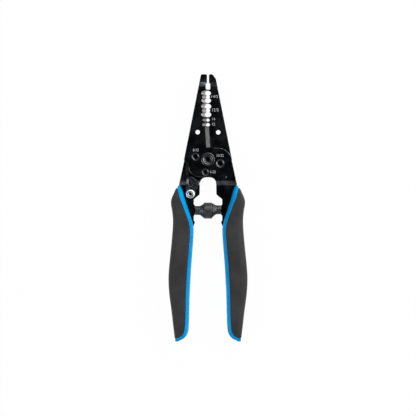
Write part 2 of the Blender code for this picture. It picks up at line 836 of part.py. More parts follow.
def tang_pocket():
    """Room for the tang in a grip: its outline grown by the clearance, open at the mouth."""
    inner = tang_inner_edge(clearance)
    outer = tang_outer_edge(clearance)
    tip = stations()[0][0]
    mouth_x = throat_half_width - over_cut
    above_tip = tip.y + tang_tip_depth
    corners = [
        (mouth_x, above_tip, 0),
        (mouth_x, inner[0][1] + mouth_above_tang, 0),
    ]
    corners += [(inner[0][0], inner[0][1] - clearance, tang_bend_round)]
    corners += [(x, y, tang_bend_round) for x, y in inner[1:-1]]
    corners += [(inner[-1][0], inner[-1][1] - clearance, tang_end_round)]
    corners += [(outer[-1][0], outer[-1][1] - clearance, tang_end_round)]
    corners += [(x, y, tang_bend_round) for x, y in reversed(outer[:-1])]
    corners += [
        (tip.x + tang_tip_inset + clearance, tip.y - tang_tip_depth, tang_end_round),
        (tip.x + tang_tip_inset + 2 * clearance, above_tip, 0),
    ]
    half = tang_face + clearance
    return slab(rounded(corners), -half, half)


def grip(side_name, side, core_material, cover_material):
    """Core and cover of one grip, the right-hand one for side 1."""
    core_bm = loft([core_section(s) for s in stations()])
    cover_bm = loft([cover_section(s) for s in stations()[1:-1]])
    core = add_object(f"{side_name}_grip_core", facing(core_bm, side), core_material)
    cover = add_object(f"{side_name}_grip_cover", facing(cover_bm, side), cover_material)
    cut(core, add_object(f"{side_name}_pocket", facing(tang_pocket(), side)))
    return core, cover


def hinge(name, place):
    """Empty on a joint's axis."""
    marker = bpy.data.objects.new(name, None)
    marker.location = place
    bpy.context.collection.objects.link(marker)
    return marker


def place_on(marker, pieces):
    """Carry pieces by an empty on their axis."""
    for piece in pieces:
        piece.parent = marker


def build():
    """Model every piece of the tool."""
    start_empty()
    black = finish("black_oxide_steel", (0.012, 0.013, 0.016), 0.38, 0.7)
    hardware = finish("dark_hardware", (0.02, 0.021, 0.024), 0.3, 0.8)
    bright = finish("bright_steel", (0.62, 0.62, 0.62), 0.25, 1.0)
    spring_steel = finish("spring_steel", (0.045, 0.045, 0.05), 0.4, 0.8)
    blue = finish("blue_core", (0.0, 0.32, 0.78), 0.45, 0.0)
    charcoal = finish("charcoal_cover", (0.055, 0.055, 0.058), 0.7, 0.0)

    fixed = hinge("tool_middle", PIVOT)
    moving = hinge("handle_hinge", PIVOT)
    catch = hinge("lock_hinge", PIVOT + RIVET)

    front = stamping("front_blade", 1, front_nose_chamfer, black)
    rear = stamping("rear_blade", -1, rear_nose_chamfer, black)
    left = grip("left", -1, blue, charcoal)
    right = grip("right", 1, blue, charcoal)
    place_on(moving, [front, *right])
    place_on(fixed, [rear, *left, pivot_screw(hardware), pivot_washer(bright), pivot_nut(hardware)])
    place_on(fixed, [return_spring(spring_steel)])
    place_on(catch, [lock_lever(black), lock_rivet(bright), lock_washer(bright)])


build()
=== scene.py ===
"""Looks of the cable stripper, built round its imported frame.

The tool lies on its back with its jaws towards +Y. Every piece is drawn where it is, in metres,
from the pivot, from the lever's rivet or from the boxes of the frame's nodes.
"""

import json
from math import acos, cos, hypot, pi, radians, sin, sqrt, tan

import bmesh
import bpy
from mathutils import Matrix, Vector


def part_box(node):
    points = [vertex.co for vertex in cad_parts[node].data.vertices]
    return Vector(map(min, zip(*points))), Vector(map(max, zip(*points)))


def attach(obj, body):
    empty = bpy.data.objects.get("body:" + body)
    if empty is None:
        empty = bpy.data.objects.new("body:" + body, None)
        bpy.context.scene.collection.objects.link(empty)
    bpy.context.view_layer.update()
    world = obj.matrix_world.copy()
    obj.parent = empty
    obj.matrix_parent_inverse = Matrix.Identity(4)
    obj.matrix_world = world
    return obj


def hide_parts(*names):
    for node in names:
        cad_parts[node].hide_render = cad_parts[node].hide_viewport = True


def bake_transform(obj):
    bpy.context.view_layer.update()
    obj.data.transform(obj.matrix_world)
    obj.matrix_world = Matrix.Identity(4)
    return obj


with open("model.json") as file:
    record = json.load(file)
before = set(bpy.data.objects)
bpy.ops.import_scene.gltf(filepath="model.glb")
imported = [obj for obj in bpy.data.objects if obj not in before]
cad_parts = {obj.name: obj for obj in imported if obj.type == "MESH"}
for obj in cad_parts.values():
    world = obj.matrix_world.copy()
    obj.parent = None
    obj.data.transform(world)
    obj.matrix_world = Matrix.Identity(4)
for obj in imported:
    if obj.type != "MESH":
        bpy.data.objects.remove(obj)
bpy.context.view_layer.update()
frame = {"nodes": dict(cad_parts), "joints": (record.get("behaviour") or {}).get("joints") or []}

MM = 0.001
JOINTS = {joint["name"]: joint for joint in frame["joints"]}
PIVOT = Vector(JOINTS["handle_open"]["pos_m"])
RIVET = Vector(JOINTS["lock_release"]["pos_m"])
BOSS_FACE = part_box("front_blade")[1].z
plate_gap = 0.3 * MM
JAW_FACE = PIVOT.z - plate_gap / 2
PHOTO_PIXELS = 416
PIXEL = 0.7835 * MM

# Places of the finishes in a stamping's list of materials
EDGE, CUTTER, NOTCH, THREAD, SLOPE, COUNTERSINK, ROLLED = range(1, 8)

# Corners closer than this are one, in the solids' meshes and in turned shapes, and how far off
# a level still counts as on it
same_corner = 2e-6
same_turned_corner = 1e-7
face_margin = 1e-5
level_margin = 1e-6

# How far the faces' normals lean: least z of a level face, most z of an upright wall, least x of
# a plate's side, and z of the slopes between a stamping's levels
level_lean = 0.97
wall_lean = 0.3
side_lean = 0.985
slope_lean = (0.8, 0.99)
slope_sideways = 0.02
slope_along = 0.1

# Eased edges of the stampings, which stay crisp along the ground jaws. Corners and levels are
# measured from the pivot.
blade_edge = 0.2 * MM
lever_edge = 0.28 * MM
short_edge = 0.12 * MM
rolled_edge = 1.0 * MM
rolled_corner = (-8.0 * MM, -4.6 * MM)
rolled_foot = -14.2 * MM
shoulder_edge = 0.34 * MM
shoulder_corner = (2.4 * MM, 2.8 * MM)
shoulder_top = 9.6 * MM
hidden_below = -82.0 * MM
jaw_zone = (5.5 * MM, 8.4 * MM, 55.5 * MM)
notch_foot = 25.3 * MM

# Screw shearing holes of the front stamping: place from the pivot, outer radius of the
# countersink, radius of the bore and pitch of the thread
shear_holes = (
    (-9.7 * MM, 2.2 * MM, 3.0 * MM, 1.75 * MM, 0.79 * MM),
    (9.6 * MM, -3.0 * MM, 3.3 * MM, 2.05 * MM, 0.79 * MM),
    (-2.0 * MM, -9.8 * MM, 2.8 * MM, 1.4 * MM, 0.79 * MM),
)
thread_depth = 0.22 * MM
thread_cuts = 13
punch_steps = (20, 10)
countersink_reach = 1.4 * MM
countersink_margin = 0.1 * MM
countersink_lift = 0.4 * MM
punch_mark = (14.1 * MM, -13.9 * MM)
punch_radius = 0.6 * MM
punch_flatness = 0.4
rub_centre = (-16.2 * MM, -5.5 * MM)
rub_reach = (1.6 * MM, 7.2 * MM)
rub_depth = 1.0 * MM

# Steps round every turned piece and its rounded corners, then the roughness and the relief of
# faces cut on a lathe and of ground faces
turned_steps = 64
corner_steps = 3
turned_roughness = (0.16, 0.24)
turned_relief = 0.02 * MM
ground_roughness = (0.36, 0.52)
ground_relief = 0.06 * MM

# Pivot screw, from the top of its head down
head_radius = 5.4 * MM
head_gap = 0.3 * MM
bevel_steps = 8
bevel_lean = 0.2
head_bevel = 0.68 * MM
head_rim_round = 0.18 * MM
dish_radius = 3.4 * MM
dish_depth = 0.3 * MM
dish_floor = 0.25 * MM
socket_across_flats = 5.0 * MM
socket_chamfer = (0.86, 0.2 * MM)
socket_depth = 1.7 * MM
socket_turn = radians(12)
socket_point = 0.5 * MM
pin_radius = 4.0 * MM
thread_radius = 3.0 * MM
thread_chamfer = 0.4 * MM
back_gap = 0.15 * MM

# Nut and washers
nut_across_flats = 10.0 * MM
nut_side_cuts = 9
nut_chamfer_angle = radians(28)
nut_chamfer_start = 0.97
nut_chamfer_width = 0.9 * MM
nut_bore_gap = 0.15 * MM
nut_bore_chamfer = 0.5 * MM
washer_round = 0.15 * MM
washer_clearance = 0.3 * MM

# Rivet of the thumb lever
rivet_head_radius = 3.5 * MM
rivet_head_rim = 0.5 * MM
rivet_lip_radius = 2.0 * MM
rivet_dish_depth = 0.8 * MM
rivet_dish_floor = 1.35 * MM
rivet_dish_steps = 5
rivet_steps = 6
rivet_shank_radius = 1.7 * MM
rivet_seat = 1.9 * MM
rivet_tail_radius = 2.9 * MM

# Thumb lever: the part of its tab's edges that stays sharp, where the painted highlight on the
# tab's top begins, the ridges across the tab, the ribs round its plate and its right-hand tip,
# whose bright edges are partly rubbed and partly a painted highlight
tab_side = 0.7 * MM
tab_height = 3.7 * MM
tab_top = 1.2 * MM
tab_highlight_below_middle = 0.6 * MM
ridge_count = 5
ridge_size = 0.34 * MM
ridge_share = 0.72
ridge_level = 1.0 * MM
ridge_height = 1.7 * MM
ridge_easing = 0.3
rib_easing = 0.5
rib_angles = (38, 54, 70, 86, 102)
rib_span = (4.9 * MM, 6.9 * MM)
rib_size = 0.55 * MM
rib_height = 0.28 * MM
lever_plate = 1.6 * MM
lever_tip = 1.2 * MM

# Volute spring
spring_axis_below_pivot = 39.6 * MM
spring_length = 20.08 * MM
spring_outer_radius = 6.3 * MM
strip_width = 6.5 * MM
strip_thickness = 0.6 * MM
spring_end_radius = 4.0 * MM
cone_span = (2.5 * MM, 6.9 * MM)
layer_gap = 0.12 * MM
middle_sag = 0.4 * MM
turns_each_way = 1.5
side_step_turns = (0.25, 0.75)
sinking_turns = (0.5, 1.25)
strip_round = 0.2 * MM
strip_points = 9
steps_per_turn = 72

# Grips
grip_depth = 17.5 * MM
handle_reach = 142.7 * MM
section_fullness = 2.6
section_flat = 1.05
cover_shell = 1.2 * MM
rim_inset = 0.3 * MM
lip_gap = 0.12 * MM
stations_between = 6
rim_points = 14
cover_points = 36
lip_points = 5
core_end_round = 0.5 * MM
cover_end_round = 0.3 * MM
least_cover = 0.3
deepest_inset = 0.4

# Right-hand grip, from its tip down: inner point, outer point, depth share, cover share and the
# width of the coloured rim. Those of the tail stand on the end of the handle.
head_stations = (
    ((21.3, -20.7), (23.9, -20.4), 0.32, 0.0, 2.2),
    ((20.1, -22.9), (25.0, -22.4), 0.62, 0.6, 3.8),
    ((18.9, -26.4), (26.9, -26.6), 0.86, 1.0, 4.2),
    ((17.7, -31.0), (28.7, -31.0), 1.0, 1.0, 3.9),
    ((16.2, -35.6), (29.0, -35.0), 1.0, 1.0, 3.45),
    ((14.6, -40.5), (28.1, -40.2), 1.0, 1.0, 3.2),
    ((12.2, -47.3), (27.5, -46.8), 1.0, 1.0, 3.1),
    ((11.05, -52.8), (27.6, -52.8), 1.0, 1.0, 3.0),
    ((11.0, -58.5), (28.0, -58.5), 1.0, 1.0, 2.8),
    ((11.5, -66.5), (28.7, -66.5), 1.0, 1.0, 2.95),
)
tail_stations = (
    ((12.95, 57.0), (30.6, 57.0), 1.0, 1.0, 3.05),
    ((13.5, 47.0), (30.95, 47.0), 1.0, 1.0, 3.05),
    ((14.05, 36.0), (30.2, 36.0), 1.0, 1.0, 3.05),
    ((14.3, 24.0), (28.6, 24.0), 1.0, 1.0, 3.05),
    ((14.6, 14.0), (27.5, 14.5), 0.98, 1.0, 3.1),
    ((15.1, 8.5), (27.15, 11.4), 0.95, 1.0, 3.2),
    ((16.3, 5.2), (26.85, 9.0), 0.90, 1.0, 3.3),
    ((18.3, 2.7), (26.6, 7.0), 0.84, 1.0, 3.6),
    ((21.0, 1.2), (26.4, 5.2), 0.76, 0.9, 3.6),
    ((23.6, 0.0), (26.2, 3.6), 0.64, 0.6, 3.1),
    ((25.2, 0.15), (26.0, 1.9), 0.42, 0.0, 1.2),
)

# Plain numbers: text, pixel of the middle in the photograph, width and height
jaw_numbers = (
    ("14/2", (214.8, 96.5), 5.1, 2.1),
    ("12/2", (215.4, 109.9), 5.1, 2.3),
    ("14", (213.7, 119.0), 2.0, 2.0),
    ("12", (213.6, 124.1), 2.2, 2.1),
)
boss_numbers = (
    ("8-32", (195.8, 150.1), 4.4, 2.0),
    ("10-32", (220.2, 155.6), 5.4, 2.0),
    ("6-32", (212.9, 171.9), 4.5, 2.1),
)
print_thickness = 0.03 * MM

# Floor, just under the tool, and how white it is to the camera and in reflections
floor_reach = 6.0
floor_drop = 0.2 * MM
floor_whiteness = 0.98

# Light of the surround by height, from the horizon (0) to overhead (1)
sky_levels = ((0.0, 0.12), (0.3, 0.2), (0.45, 0.6), (0.74, 0.62), (0.85, 0.04), (1.0, 0.01))


def new_material(name, colour, roughness, metallic=0.0, **sockets):
    """A material with its constants on the shader's own sockets, and its tree."""
    material = bpy.data.materials.new(name)
    material.use_nodes = True
    tree = material.node_tree
    shader = tree.nodes["Principled BSDF"]
    shader.inputs["Base Color"].default_value = (*colour, 1)
    shader.inputs["Roughness"].default_value = roughness
    shader.inputs["Metallic"].default_value = metallic
    for socket, value in sockets.items():
        shader.inputs[socket.replace("_", " ")].default_value = value
    return material, tree, shader


def object_noise(tree, scale, stretch=(1, 1, 1), detail=3.0):
    """Noise in the piece's own metres, stretched along an axis where it has a direction."""
    place = tree.nodes.new("ShaderNodeTexCoord")
    mapping = tree.nodes.new("ShaderNodeMapping")
    mapping.inputs["Scale"].default_value = stretch
    noise = tree.nodes.new("ShaderNodeTexNoise")
    noise.inputs["Scale"].default_value = scale
    noise.inputs["Detail"].default_value = detail
    tree.links.new(place.outputs["Object"], mapping.inputs["Vector"])
    tree.links.new(mapping.outputs["Vector"], noise.inputs["Vector"])
    return noise.outputs["Fac"]


def between(tree, share, low, high, start=0.35, end=0.65):
    """Value that runs from low to high as a texture runs from start to end."""
    spread = tree.nodes.new("ShaderNodeMapRange")
    spread.inputs["From Min"].default_value = start
    spread.inputs["From Max"].default_value = end
    spread.inputs["To Min"].default_value = low
    spread.inputs["To Max"].default_value = high
    tree.links.new(share, spread.inputs["Value"])
    return spread.outputs["Result"]


def mixed(tree, share, first, second, start=0.35, end=0.65):
    """Colour that runs from first to second as a texture runs from start to end."""
    mix = tree.nodes.new("ShaderNodeMix")
    mix.data_type = "RGBA"
    mix.inputs["A"].default_value = (*first, 1)
    mix.inputs["B"].default_value = (*second, 1)
    tree.links.new(between(tree, share, 0, 1, start, end), mix.inputs["Factor"])
    return mix.outputs["Result"]


def painted(tree, shader, share, first, second, start=0.35, end=0.65):
    """Set a base colour that runs from first to second with a texture."""
    tree.links.new(mixed(tree, share, first, second, start, end), shader.inputs["Base Color"])


def roughened(tree, shader, share, low, high):
    """Set a roughness that runs from low to high with a texture."""
    tree.links.new(between(tree, share, low, high), shader.inputs["Roughness"])


def relief(tree, shader, heights, distance):
    """Bump from one or more textures, given as (output, strength)."""
    normal = None
    for height, strength in heights:
        bump = tree.nodes.new("ShaderNodeBump")
        bump.inputs["Strength"].default_value = strength
        bump.inputs["Distance"].default_value = distance
        tree.links.new(height, bump.inputs["Height"])
        if normal:
            tree.links.new(normal, bump.inputs["Normal"])
        normal = bump.outputs["Normal"]
    tree.links.new(normal, shader.inputs["Normal"])


def black_oxide(name, dark, light, roughness, worn=None, cloud_scale=130):
    """Blackened steel: faint cloudy patches and a fine grain, with a rubbed patch if asked for."""
    material, tree, shader = new_material(name, dark, roughness, 1.0)
    clouds = object_noise(tree, cloud_scale)
    grain = object_noise(tree, 5200, detail=2)
    colour = mixed(tree, clouds, dark, light)
    if worn:
        rub_mark(tree, shader, colour, worn)
    else:
        tree.links.new(colour, shader.inputs["Base Color"])
    roughened(tree, shader, clouds, roughness - 0.05, roughness + 0.08)
    relief(tree, shader, [(grain, 0.12), (clouds, 0.05)], 0.0001)
    return material


def rub_mark(tree, shader, colour, worn):
    """Let the blackening wear thin in a patch of the front face beside the boss."""
    place = tree.nodes.new("ShaderNodeTexCoord")
    mapping = tree.nodes.new("ShaderNodeMapping")
    mapping.inputs["Scale"].default_value = (1 / rub_reach[0], 1 / rub_reach[1], 1 / rub_depth)
    mapping.inputs["Location"].default_value = (
        -(PIVOT.x + rub_centre[0]) / rub_reach[0], -(PIVOT.y + rub_centre[1]) / rub_reach[1],
        -JAW_FACE / rub_depth)
    length = tree.nodes.new("ShaderNodeVectorMath")
    length.operation = "LENGTH"
    mix = tree.nodes.new("ShaderNodeMix")
    mix.data_type = "RGBA"
    mix.inputs["B"].default_value = (*worn, 1)
    tree.links.new(place.outputs["Object"], mapping.inputs["Vector"])
    tree.links.new(mapping.outputs["Vector"], length.inputs[0])
    tree.links.new(between(tree, length.outputs["Value"], 1, 0, 0.6, 1.15), mix.inputs["Factor"])
    tree.links.new(colour, mix.inputs["A"])
    tree.links.new(mix.outputs["Result"], shader.inputs["Base Color"])


def rubbed_and_sheen_edge():
    """Stamping edges: blackening rubbed thin, and lighter still as a painted highlight."""
    material, tree, shader = new_material("rubbed_and_sheen_edge", (0.12, 0.125, 0.13), 0.3, 1.0)
    rub = object_noise(tree, 420, detail=4)
    painted(tree, shader, rub, (0.07, 0.073, 0.08), (0.3, 0.3, 0.3), 0.45, 0.72)
    roughened(tree, shader, rub, 0.36, 0.24)
    relief(tree, shader, [(object_noise(tree, 4000), 0.1)], 0.0001)
    return material


def wear_and_highlight_steel():
    """Light bare steel dulled by scratches: wear on the ribs, a painted highlight on the tab's top.
    """
    material, tree, shader = new_material("wear_and_highlight_steel", (0.42, 0.42, 0.42), 0.6, 1.0)
    patches = object_noise(tree, 700, detail=4)
    painted(tree, shader, patches, (0.2, 0.2, 0.21), (0.38, 0.38, 0.375))
    roughened(tree, shader, patches, 0.66, 0.52)
    relief(tree, shader, [(object_noise(tree, 1, (900, 5000, 900)), 0.2)], 0.00008)
    return material


def ground_steel(name, stretch, dark, light, roughness=ground_roughness, depth=ground_relief):
    """Bare steel with the streaks of the grinding wheel."""
    material, tree, shader = new_material(name, light, 0.4, 1.0)
    streaks = object_noise(tree, 1, stretch)
    stain = object_noise(tree, 500)
    colour = mixed(tree, streaks, dark, light, 0.3, 0.7)
    tint = tree.nodes.new("ShaderNodeMix")
    tint.data_type = "RGBA"
    tint.blend_type = "MULTIPLY"
    tint.inputs["B"].default_value = (0.72, 0.7, 0.7, 1)
    tree.links.new(between(tree, stain, 0, 1, 0.5, 0.7), tint.inputs["Factor"])
    tree.links.new(colour, tint.inputs["A"])
    tree.links.new(tint.outputs["Result"], shader.inputs["Base Color"])
    roughened(tree, shader, streaks, *roughness)
    relief(tree, shader, [(streaks, 0.25)], depth)
    return material


def turned_steel(name, dark, light):
    """Steel cut on a lathe or a drill, smoother than a ground face."""
    return ground_steel(name, (250, 250, 250), dark, light, turned_roughness, turned_relief)


def thread_wall():
    """Cut thread: bright where the tap has gone through the blackening."""
    material, tree, shader = new_material("thread_wall", (0.3, 0.3, 0.3), 0.28, 1.0)
    oil = object_noise(tree, 900, detail=4)
    painted(tree, shader, oil, (0.16, 0.16, 0.165), (0.42, 0.42, 0.42))
    roughened(tree, shader, oil, 0.2, 0.38)
    relief(tree, shader, [(object_noise(tree, 5000), 0.1)], 0.00005)
    return material


def bright_steel():
    """Plated steel with fine turning marks and a few dull spots."""
    material, tree, shader = new_material("plated_steel", (0.93, 0.93, 0.93), 0.3, 1.0)
    dull = object_noise(tree, 900)
    fine = object_noise(tree, 6000)
    painted(tree, shader, dull, (0.86, 0.86, 0.86), (0.97, 0.97, 0.97))
    roughened(tree, shader, dull, 0.26, 0.36)
    relief(tree, shader, [(fine, 0.04)], 0.00003)
    return material


def spring_strip():
    """Dark rolled strip with a satin face and streaks along its length."""
    material, tree, shader = new_material("rolled_strip", (0.08, 0.08, 0.082), 0.34, 1.0)
    streaks = object_noise(tree, 1, (5200, 260, 260))
    patches = object_noise(tree, 260)
    painted(tree, shader, patches, (0.066, 0.066, 0.069), (0.105, 0.104, 0.104))
    roughened(tree, shader, streaks, 0.42, 0.54)
    relief(tree, shader, [(streaks, 0.18), (patches, 0.05)], 0.00008)
    return material


def blue_moulding():
    """Smooth blue plastic with a soft gloss and a faintly rippled face."""
    material, tree, shader = new_material(
        "blue_moulding", (0.0, 0.31, 0.68), 0.45, IOR=1.36, Specular_IOR_Level=0.06)
    ripple = object_noise(tree, 90)
    grain = object_noise(tree, 3200)
    painted(tree, shader, ripple, (0.0, 0.285, 0.63), (0.0, 0.325, 0.71))
    roughened(tree, shader, grain, 0.36, 0.46)
    relief(tree, shader, [(grain, 0.06), (ripple, 0.04)], 0.00008)
    return material


def soft_cover():
    """Charcoal soft moulding: a fine sandy grain and faint clouds."""
    material, tree, shader = new_material(
        "soft_cover", (0.052, 0.051, 0.052), 0.62, IOR=1.36, Specular_IOR_Level=0.12)
    clouds = object_noise(tree, 70, detail=4)
    sand = object_noise(tree, 3600, detail=2)
    painted(tree, shader, clouds, (0.034, 0.033, 0.034), (0.045, 0.044, 0.045))
    roughened(tree, shader, clouds, 0.56, 0.68)
    relief(tree, shader, [(sand, 0.22), (clouds, 0.03)], 0.00012)
    return material


def white_print():
    """Printed numbers, slightly worn."""
    material, tree, shader = new_material("white_print", (0.7, 0.7, 0.7), 0.5)
    worn = object_noise(tree, 1500, detail=4)
    painted(tree, shader, worn, (0.5, 0.5, 0.51), (0.26, 0.26, 0.27), 0.45, 0.8)
    relief(tree, shader, [(worn, 0.1)], 0.00005)
    return material


def add_piece(name, bm, materials, body=None, nodes=(), sharp=radians(38)):
    """Turn a bmesh into a named piece that rides on a body and stands for its nodes."""
    bm.normal_update()
    mesh = bpy.data.meshes.new(name)
    bm.to_mesh(mesh)
    bm.free()
    for material in materials:
        mesh.materials.append(material)
    mesh.shade_smooth()
    mesh.set_sharp_from_angle(angle=sharp)
    piece = bpy.data.objects.new(name, mesh)
    bpy.context.scene.collection.objects.link(piece)
    even = piece.modifiers.new("even_faces", "WEIGHTED_NORMAL")
    even.keep_sharp = True
    if body:
        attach(piece, body)
    if nodes:
        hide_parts(*nodes)
    return piece


def node_copy(node):
    """Copy of a node's mesh with its corners merged and its flat faces whole."""
    bm = bmesh.new()
    bm.from_mesh(frame["nodes"][node].data)
    bm.transform(frame["nodes"][node].matrix_world)
    bmesh.ops.remove_doubles(bm, verts=bm.verts, dist=same_corner)
    bmesh.ops.dissolve_limit(bm, angle_limit=radians(1.0), verts=bm.verts, edges=bm.edges)
    bmesh.ops.remove_doubles(bm, verts=bm.verts, dist=short_edge)
    bm.normal_update()
    return bm


def bevel(bm, edges, width, segments, **options):
    """Round some edges, and return the faces that this makes."""
    return bmesh.ops.bevel(
        bm, geom=edges, offset=width, offset_type="OFFSET", segments=segments, profile=0.5,
        affect="EDGES", material=-1, **options)["faces"]


def ease_edges(bm, width, material, skipped, segments=2, sharp=radians(30)):
    """Round the sharp edges that aren't skipped and give the new faces a material."""
    edges = [
        edge for edge in bm.edges
        if edge.is_manifold and edge.calc_face_angle(0) > sharp
        and not skipped((edge.verts[0].co + edge.verts[1].co) / 2)
    ]
    for face in bevel(bm, edges, width, segments, clamp_overlap=False, loop_slide=True):
        face.material_index = material
    bm.normal_update()


def spun(profile, centre, open_ends=False):
    """Shape turned about the vertical through a centre, from (radius, z) points."""
    bm = bmesh.new()
    points = [bm.verts.new((radius, 0, z)) for radius, z in profile]
    edges = [bm.edges.new(pair) for pair in zip(points, points[1:])]
    if not open_ends and profile[0][0] > 0:
        edges.append(bm.edges.new((points[-1], points[0])))
    bmesh.ops.spin(
        bm, geom=points + edges, cent=(0, 0, 0), axis=(0, 0, 1), angle=2 * pi,
        steps=turned_steps, use_merge=True,
    )
    bmesh.ops.remove_doubles(bm, verts=bm.verts, dist=same_turned_corner)
    bm.normal_update()
    bmesh.ops.recalc_face_normals(bm, faces=bm.faces)
    bmesh.ops.translate(bm, verts=bm.verts, vec=(centre.x, centre.y, 0))
    return bm


def corner(x, z, radius, start):
    """Quarter round about (x, z) that starts at an angle, as (radius, z) points."""
    angles = [start - pi / 2 * k / corner_steps for k in range(corner_steps + 1)]
    return [(x + radius * cos(angle), z + radius * sin(angle)) for angle in angles]


def crisp(spot):
    """Whether an edge is ground sharp along the jaws, or hidden in a grip."""
    x, y = spot.x - PIVOT.x, spot.y - PIVOT.y
    half_width, foot, top = jaw_zone
    return y < hidden_below or (abs(x) < half_width and foot < y < top)


def on_front(spot):
    """Whether a place is on the front face of the boss."""
    return spot.z > BOSS_FACE - face_margin


def rolled(spot):
    """Whether an edge is on the boss's lower left, where the press has rolled it over."""
    x, y = spot.x - PIVOT.x, spot.y - PIVOT.y
    return x < rolled_corner[0] and rolled_foot < y < rolled_corner[1] and on_front(spot)


def shoulder(spot):
    """Whether an edge is on the boss's upper right."""
    x, y = spot.x - PIVOT.x, spot.y - PIVOT.y
    return x > shoulder_corner[0] and shoulder_corner[1] < y < shoulder_top and on_front(spot)


def countersunk(spot, normal):
    """Whether a face is on the slope round the front of a shearing hole."""
    near = any(
        hypot(spot.x - PIVOT.x - x, spot.y - PIVOT.y - y) < reach
        for x, y, reach, _, _ in shear_holes)
    return near and wall_lean < normal.z < level_lean


def ground(spot, normal):
    """Whether a face is in the wall of a notch or of the cutter, and not on a plate's side."""
    on_jaw = crisp(spot) and spot.y > PIVOT.y
    return on_jaw and abs(normal.z) < level_lean and abs(normal.x) < side_lean


def bent(normal):
    """Whether a face is on the slope between two levels of a stamping."""
    leans = slope_lean[0] < abs(normal.z) < slope_lean[1] and abs(normal.y) > slope_along
    return leans and abs(normal.x) < slope_sideways


def stamping(node, body, materials):
    """Blackened plate with eased edges, ground notches and cutter, and threaded holes."""
    bm = node_copy(node)
    if node == "front_blade":
        open_countersinks(bm)
        # The rolled edge takes the dimmer of the two lighter oxides, a painted sheen.
        ease_edges(bm, rolled_edge, ROLLED, lambda spot: not rolled(spot), segments=5)
        ease_edges(bm, shoulder_edge, EDGE, lambda spot: not shoulder(spot), segments=3)
    # Eased edges here and above take the rubbed edge steel, lighter partly as a painted highlight.
    ease_edges(bm, blade_edge, EDGE, lambda spot: crisp(spot) or rolled(spot) or shoulder(spot))
    for face in bm.faces:
        spot = face.calc_center_median()
        if node == "front_blade" and countersunk(spot, face.normal):
            face.material_index = COUNTERSINK
        elif ground(spot, face.normal):
            face.material_index = CUTTER if spot.y < PIVOT.y + notch_foot else NOTCH
        # Slopes between levels take a lighter oxide, a painted sheen.
        elif bent(face.normal):
            face.material_index = SLOPE
    if node == "front_blade":
        cut_threads(bm)
        centre = Vector((PIVOT.x + punch_mark[0], PIVOT.y + punch_mark[1], BOSS_FACE))
        mark = bmesh.ops.create_uvsphere(
            bm, u_segments=punch_steps[0], v_segments=punch_steps[1], radius=punch_radius,
            matrix=Matrix.Translation(centre) @ Matrix.Diagonal((1, 1, punch_flatness, 1)))
        for face in {face for vert in mark["verts"] for face in vert.link_faces}:
            face.material_index = EDGE
    return add_piece(node.replace("blade", "stamping"), bm, materials, body, [node])


def open_countersinks(bm):
    """Make the slopes round the shearing holes shallower, so that they catch the light."""
    for x, y, _, bore, _ in shear_holes:
        middle = Vector((PIVOT.x + x, PIVOT.y + y, 0))
        mouth = [
            vert for vert in bm.verts
            if (vert.co - middle).xy.length < bore + countersink_margin
            and BOSS_FACE - countersink_reach < vert.co.z < BOSS_FACE - countersink_margin
        ]
        bmesh.ops.translate(bm, verts=mouth, vec=(0, 0, countersink_lift))
    bm.normal_update()


def hole_walls(bm, middle, reach):
    """Upright faces round a hole."""
    return [
        face for face in bm.faces
        if (face.calc_center_median() - middle).xy.length < reach
        and abs(face.normal.z) < wall_lean
    ]


def cut_threads(bm):
    """Turn the plain walls of the shearing holes into helical ridges."""
    for x, y, reach, bore, pitch in shear_holes:
        middle = Vector((PIVOT.x + x, PIVOT.y + y, 0))
        walls = hole_walls(bm, middle, reach)
        upright = {
            edge for face in walls for edge in face.edges
            if abs(edge.verts[0].co.z - edge.verts[1].co.z) > pitch
        }
        bmesh.ops.subdivide_edges(bm, edges=list(upright), cuts=thread_cuts)
        bm.normal_update()
        walls = hole_walls(bm, middle, reach)
        levels = [vert.co.z for face in walls for vert in face.verts]
        for face in walls:
            face.material_index = THREAD
        for vert in {vert for face in walls for vert in face.verts}:
            if min(levels) + level_margin < vert.co.z < max(levels) - level_margin:
                arm = (vert.co - middle).xy
                phase = (vert.co.z / pitch + arm.angle_signed(Vector((1, 0))) / (2 * pi)) % 1
                ridge = thread_depth * (abs(2 * phase - 1) - 0.5)
                arm *= (bore + ridge) / arm.length
                vert.co.x = middle.x + arm.x
                vert.co.y = middle.y + arm.y


def pivot_screw(finishes):
    """Low head with a bevel, a dished middle and a hexagon socket, on a plain pin."""
    low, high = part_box("pivot_screw")
    top = high.z
    under = BOSS_FACE + head_gap
    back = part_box("rear_blade")[0].z - back_gap
    rim = head_rim_round
    profile = [
        (dish_radius - dish_floor, top - dish_depth),
        (dish_radius, top - dish_depth + rim / 3),
        (dish_radius + dish_depth, top - rim / 2),
        (dish_radius + dish_depth + rim, top),
    ]
    profile += [
        (head_radius - head_bevel + head_bevel * sin(pi / 2 * k / bevel_steps),
         top - head_bevel + head_bevel * cos(pi / 2 * k / bevel_steps))
        for k in range(bevel_steps + 1)
    ]
    profile += [(head_radius, under + rim), (head_radius - rim, under), (pin_radius, under)]
    profile += [(pin_radius, back), (thread_radius, back), (thread_radius, low.z + thread_chamfer)]
    profile += [(thread_radius - thread_chamfer, low.z), (0, low.z)]
    bm = spun(profile, PIVOT, open_ends=True)
    cut_socket(bm, top - dish_depth)
    for face in bm.faces:
        spot = face.calc_center_median()
        away = (spot - PIVOT).xy.length
        # The head's bevel and dish wall take a lighter steel, a painted sheen.
        if spot.z > under + rim and bevel_lean < face.normal.z < level_lean:
            face.material_index = 1 if away > dish_radius - dish_floor else 2
        if spot.z < top - dish_depth - 2 * socket_chamfer[1]:
            face.material_index = 0
    return add_piece(
        "dished_pivot_screw", bm, finishes, "rear_half", ["pivot_screw"],
        radians(25))


